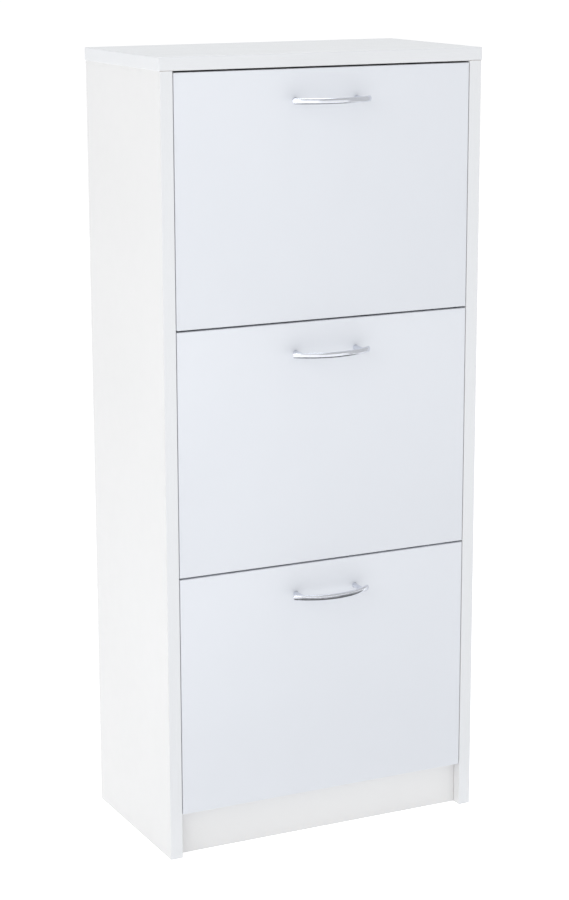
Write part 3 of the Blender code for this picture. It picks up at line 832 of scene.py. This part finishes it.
def bow_handle(flap, material):
    """Bow handle: a strap on two posts, which stand where its screws are."""
    node = "handle_" + flap
    low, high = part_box(node)
    door_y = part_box("door_panel_" + flap)[0].y
    middle = Vector(((low.x + high.x) / 2, door_y, (low.z + high.z) / 2))
    mesh = strap(node, middle, (high.x - low.x) / 2, door_y - low.y, high.z - low.z)
    handle = link(node + "_fine", mesh, [material])
    posts = []
    for side in SIDES:
        screw_low, screw_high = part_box(f"handle_screw_{flap}_{side}")
        posts.append(handle_post(((screw_low.x + screw_high.x) / 2, high.y, middle.z), material))
    combine(handle, posts, "UNION")
    stand_in(smooth(handle), node)


def refined(node, width, extras=(), cuts=()):
    """Rounded copy of a node: flat triangles joined, extras added and cut, sharp edges rounded over."""
    obj = link(node + "_fine", frame["nodes"][node].data.copy(), [])
    obj.data.materials.clear()
    merge_flats(obj)
    if extras:
        combine(obj, extras, "UNION")
        combine(obj, cuts, "DIFFERENCE")
        merge_flats(obj)
    solid = bmesh.new()
    solid.from_mesh(obj.data)
    sharp = [edge for edge in solid.edges if edge.calc_face_angle(0.0) > SHARP_ANGLE]
    round_over(solid, sharp, width, COPY_ARRIS_STEPS)
    obj.data = to_mesh(solid, node)
    return obj


def merge_flats(obj):
    """Join an object's doubled points and its flat neighbouring faces."""
    solid = bmesh.new()
    solid.from_mesh(obj.data)
    bmesh.ops.remove_doubles(solid, verts=solid.verts, dist=MERGE_DISTANCE)
    bmesh.ops.dissolve_limit(solid, angle_limit=FLAT_ANGLE, verts=solid.verts, edges=solid.edges)
    obj.data = to_mesh(solid, obj.name)


def slot_outline(pivot, half_width):
    """Round-ended slot about a pivot, as wide as asked."""
    shut, opened = STOP_ANGLE, STOP_ANGLE - OPEN_ANGLE
    centre = (pivot.y, pivot.z)
    ends = []
    for angle, first in ((shut, shut), (opened, opened + math.pi)):
        tip = (pivot.y + STOP_RADIUS * math.cos(angle), pivot.z + STOP_RADIUS * math.sin(angle))
        ends.append(arc(tip, half_width, first, first + math.pi, SLOT_END_STEPS)[1:-1])
    outer = arc(centre, STOP_RADIUS + half_width, opened, shut, SLOT_STEPS)
    inner = arc(centre, STOP_RADIUS - half_width, shut, opened, SLOT_STEPS)
    return outer + ends[0] + inner + ends[1]


def moulded_cheek(side, sign):
    """Cheek of the lowest flap on one side, with a rim round its disc and a lip round its slot."""
    flap = FLAPS[0]
    node = f"cheek_{flap}_{side}"
    pivot = PIVOTS["flap_" + flap]
    low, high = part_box(node)
    radius = high.z - pivot.z
    plate_low, plate_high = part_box("floor_plate_" + flap)
    inner = plate_high.x if sign > 0 else plate_low.x
    outer = inner + sign * CHEEK_THICKNESS
    core = inner + sign * CHEEK_THICKNESS / 2
    centre = (pivot.y, pivot.z)
    start = math.asin((low.z - pivot.z) / radius) + RIM_START
    rim = arc(centre, radius - RIM_INSET, start, math.pi / 2, RIM_STEPS)
    rim += arc(centre, radius - RIM_WIDTH, math.pi / 2, start, RIM_STEPS)
    lip = slot_outline(pivot, SLOT_HALF_WIDTH + LIP_WIDTH)
    slot = extruded(slot_outline(pivot, SLOT_HALF_WIDTH), inner - sign * CHEEK_THICKNESS,
                    outer + sign * CHEEK_THICKNESS)
    extras = [link("rim", to_mesh(extruded(outline, inner - sign * rise, core), "rim"), [])
              for outline, rise in ((rim, RIM_HEIGHT), (lip, LIP_HEIGHT))]
    cuts = [link("slot_cutter", to_mesh(slot, "slot_cutter"), [])]
    piece = refined(node, MOULDED_ARRIS, extras, cuts)
    mesh = piece.data
    bpy.data.objects.remove(piece)
    return mesh


def cheek(flap, side, mesh, material):
    """One flap's cheek: the lowest flap's, raised to its own pivot."""
    node = f"cheek_{flap}_{side}"
    piece = link(node + "_fine", mesh.copy(), [material])
    piece.location.z = PIVOTS["flap_" + flap].z - PIVOTS["flap_" + FLAPS[0]].z
    stand_in(smooth(piece), node)


def insert_plate(node, face, edge):
    """Thin plate, lacquered on its two faces and raw on its edges."""
    piece = refined(node, THIN_ARRIS)
    piece.data.materials.append(face)
    piece.data.materials.append(edge)
    largest = max(polygon.area for polygon in piece.data.polygons)
    for polygon in piece.data.polygons:
        polygon.material_index = 0 if polygon.area > largest / 2 else 1
    stand_in(smooth(piece), node)


def cross_cutter(arm, half_width, bottom, top):
    """Cutter for a cross recess, narrower at its bottom than at its top."""
    quarter = [Vector((arm, -half_width, 0)), Vector((arm, half_width, 0)),
               Vector((half_width, half_width, 0))]
    outline = [Matrix.Rotation(turn * math.pi / 2, 3, "Z") @ point
               for turn in range(4) for point in quarter]
    solid = bmesh.new()
    lids = []
    for height, share in ((bottom, RECESS_TAPER), (top, 1.0)):
        lids.append([solid.verts.new((point.x * share, point.y * share, height)) for point in outline])
    for lid in lids:
        solid.faces.new(lid)
    for i in range(len(outline)):
        solid.faces.new((lids[0][i - 1], lids[0][i], lids[1][i], lids[1][i - 1]))
    bmesh.ops.recalc_face_normals(solid, faces=solid.faces)
    return link("recess", to_mesh(solid, "recess"), [])


def screw_mesh(name, head_radius, head_height, radius, length, point):
    """Pan-head screw with a cross recess and a thread: its head stands towards +Z from the origin."""
    head = []
    for i in range(DOME_STEPS + 1):
        angle = math.pi / 2 * i / DOME_STEPS
        rise = HEAD_RIM_SHARE + (1 - HEAD_RIM_SHARE) * math.cos(angle)
        head.append((head_radius * math.sin(angle), head_height * rise))
    head.append((head_radius, 0.0))
    shank = [(radius, 0.0)]
    for i in range(int((length - point) / THREAD_PITCH)):
        crest = -THREAD_START - i * THREAD_PITCH
        shank += [(radius, crest), (radius * THREAD_ROOT_SHARE, crest - THREAD_PITCH / 2)]
    body = link(name, turned(name, head + shank + [(0, -length)], SCREW_STEPS), [])
    recess = cross_cutter(head_radius * RECESS_ARM_SHARE, head_radius * RECESS_HALF_SHARE,
                          head_height * RECESS_FLOOR_SHARE, head_height * RECESS_TOP_SHARE)
    combine(body, [recess], "DIFFERENCE")
    mesh = body.data
    bpy.data.objects.remove(body)
    return mesh


def screws(flap, meshes, material):
    """All the screws of one flap, each on its node's axis."""
    for side in SIDES:
        nodes = [f"handle_screw_{flap}_{side}"]
        nodes += [f"cheek_screw_{flap}_{side}_{place}" for place in ("lower", "upper")]
        for node in nodes:
            kind = node.split("_")[0]
            low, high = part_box(node)
            piece = link(node + "_fine", meshes[kind].copy(), [material])
            seat = high.y - SCREWS[kind]["head_height"]
            piece.location = ((low.x + high.x) / 2, seat, (low.z + high.z) / 2)
            piece.rotation_euler = (-math.pi / 2, 0, 0)
            stand_in(smooth(piece), node)


def bush_and_peg(flap, side, nylon, steel):
    """Pivot bush with its bore, and stop peg, with their sharp edges eased."""
    for node, material in ((f"pivot_bush_{flap}_{side}", nylon), (f"stop_peg_{flap}_{side}", steel)):
        piece = refined(node, TURNED_ARRIS)
        piece.data.materials.append(material)
        stand_in(smooth(piece), node)


def flaps():
    """Everything that turns on each flap's pivots, and the bushes and pegs that it runs on."""
    chrome = satin_chrome("handle_chrome")
    steel = zinc_plate("screw_zinc")
    grey = moulded_plastic("cheek_plastic", CHEEK_GREY, CHEEK_ROUGHNESS)
    nylon = moulded_plastic("bush_nylon", BUSH_WHITE, BUSH_ROUGHNESS)
    sheet = lacquered_sheet("insert_lacquer", SHEET_WHITE)
    sheet_edge = raw_hardboard("insert_edge")
    meshes = {kind: screw_mesh(kind + "_screw", **sizes) for kind, sizes in SCREWS.items()}
    cheeks = {side: moulded_cheek(side, sign) for side, sign in SIDES.items()}
    for flap in FLAPS:
        door(flap)
        bow_handle(flap, chrome)
        screws(flap, meshes, steel)
        for part in ("floor_plate", "divider_plate", "rear_plate"):
            insert_plate(f"{part}_{flap}", sheet, sheet_edge)
        for side in SIDES:
            cheek(flap, side, cheeks[side], grey)
            bush_and_peg(flap, side, nylon, steel)


# ---------------------------------------------------------------- studio

def add_camera():
    """Put the camera to the left, above the cabinet's top, looking down at it."""
    data = bpy.data.cameras.new("camera")
    data.sensor_width = SENSOR
    data.lens = FOCAL_LENGTH
    data.clip_end = CLIP_END
    camera = bpy.data.objects.new("camera", data)
    bpy.context.scene.collection.objects.link(camera)
    camera.location = CAMERA_PLACE
    look = Vector((math.sin(CAMERA_YAW) * math.cos(CAMERA_PITCH),
                   math.cos(CAMERA_YAW) * math.cos(CAMERA_PITCH), -math.sin(CAMERA_PITCH)))
    turn = look.to_track_quat("-Z", "Y")
    camera.rotation_euler = (turn @ Euler((0, 0, CAMERA_ROLL)).to_quaternion()).to_euler()
    bpy.context.scene.camera = camera


def area_light(name, place, target, size, power, colour):
    """Soft square light at a place, turned towards a target."""
    data = bpy.data.lights.new(name, "AREA")
    data.energy = power
    data.color = colour
    data.size = size
    light = bpy.data.objects.new(name, data)
    bpy.context.scene.collection.objects.link(light)
    light.location = place
    light.rotation_euler = (Vector(target) - light.location).to_track_quat("-Z", "Y").to_euler()


def grey_card(name, place, target, size, grey):
    """Grey card that only shows in reflections."""
    mesh = bpy.data.meshes.new(name)
    half_width, half_height = size[0] / 2, size[1] / 2
    corners = [(-half_width, -half_height, 0), (half_width, -half_height, 0),
               (half_width, half_height, 0), (-half_width, half_height, 0)]
    mesh.from_pydata(corners, [], [(0, 1, 2, 3)])
    shader = Shader(name)
    shader.surface.inputs["Base Color"].default_value = (grey, grey, grey, 1.0)
    card = link(name, mesh, [shader.material])
    card.location = place
    card.rotation_euler = (Vector(target) - card.location).to_track_quat("Z", "Y").to_euler()
    card.visible_camera = False
    card.visible_diffuse = False
    card.visible_shadow = False
    card.visible_transmission = False


def add_sky():
    """White sky, which the camera sees brighter than the light that it gives."""
    world = bpy.data.worlds.new("studio")
    bpy.context.scene.world = world
    world.use_nodes = True
    tree = world.node_tree
    background = tree.nodes["Background"]
    background.inputs["Color"].default_value = (*WHITE, 1)
    strength = tree.nodes.new("ShaderNodeMapRange")
    strength.inputs["To Min"].default_value = SKY_LIGHT
    strength.inputs["To Max"].default_value = SKY_SEEN
    path = tree.nodes.new("ShaderNodeLightPath")
    tree.links.new(path.outputs["Is Camera Ray"], strength.inputs["Value"])
    tree.links.new(strength.outputs["Result"], background.inputs["Strength"])


def add_floor():
    """Wide pale floor that gives off a little light."""
    mesh = bpy.data.meshes.new("floor")
    corners = [(-FLOOR_REACH, -FLOOR_REACH, 0), (FLOOR_REACH, -FLOOR_REACH, 0),
               (FLOOR_REACH, FLOOR_REACH, 0), (-FLOOR_REACH, FLOOR_REACH, 0)]
    mesh.from_pydata(corners, [], [(0, 1, 2, 3)])
    paper = Shader("floor_paper")
    paper.surface.inputs["Base Color"].default_value = (FLOOR_GREY, FLOOR_GREY, FLOOR_GREY, 1.0)
    paper.surface.inputs["Roughness"].default_value = FLOOR_ROUGHNESS
    paper.surface.inputs["Emission Color"].default_value = (*WHITE, 1)
    paper.surface.inputs["Emission Strength"].default_value = FLOOR_GLOW
    link("floor", mesh, [paper.material])


def add_studio():
    """Sky, floor, soft lights, and the grey cards that the chrome and the lacquer reflect."""
    add_sky()
    add_floor()
    for name, settings in LIGHTS.items():
        area_light(name, **settings)
    for name, settings in CARDS.items():
        grey_card(name, **settings)


def main():
    """Build the studio and every piece."""
    add_camera()
    add_studio()
    carcass()
    back_panel()
    back_nails()
    flaps()
    bpy.context.scene.view_settings.view_transform = "Standard"


main()
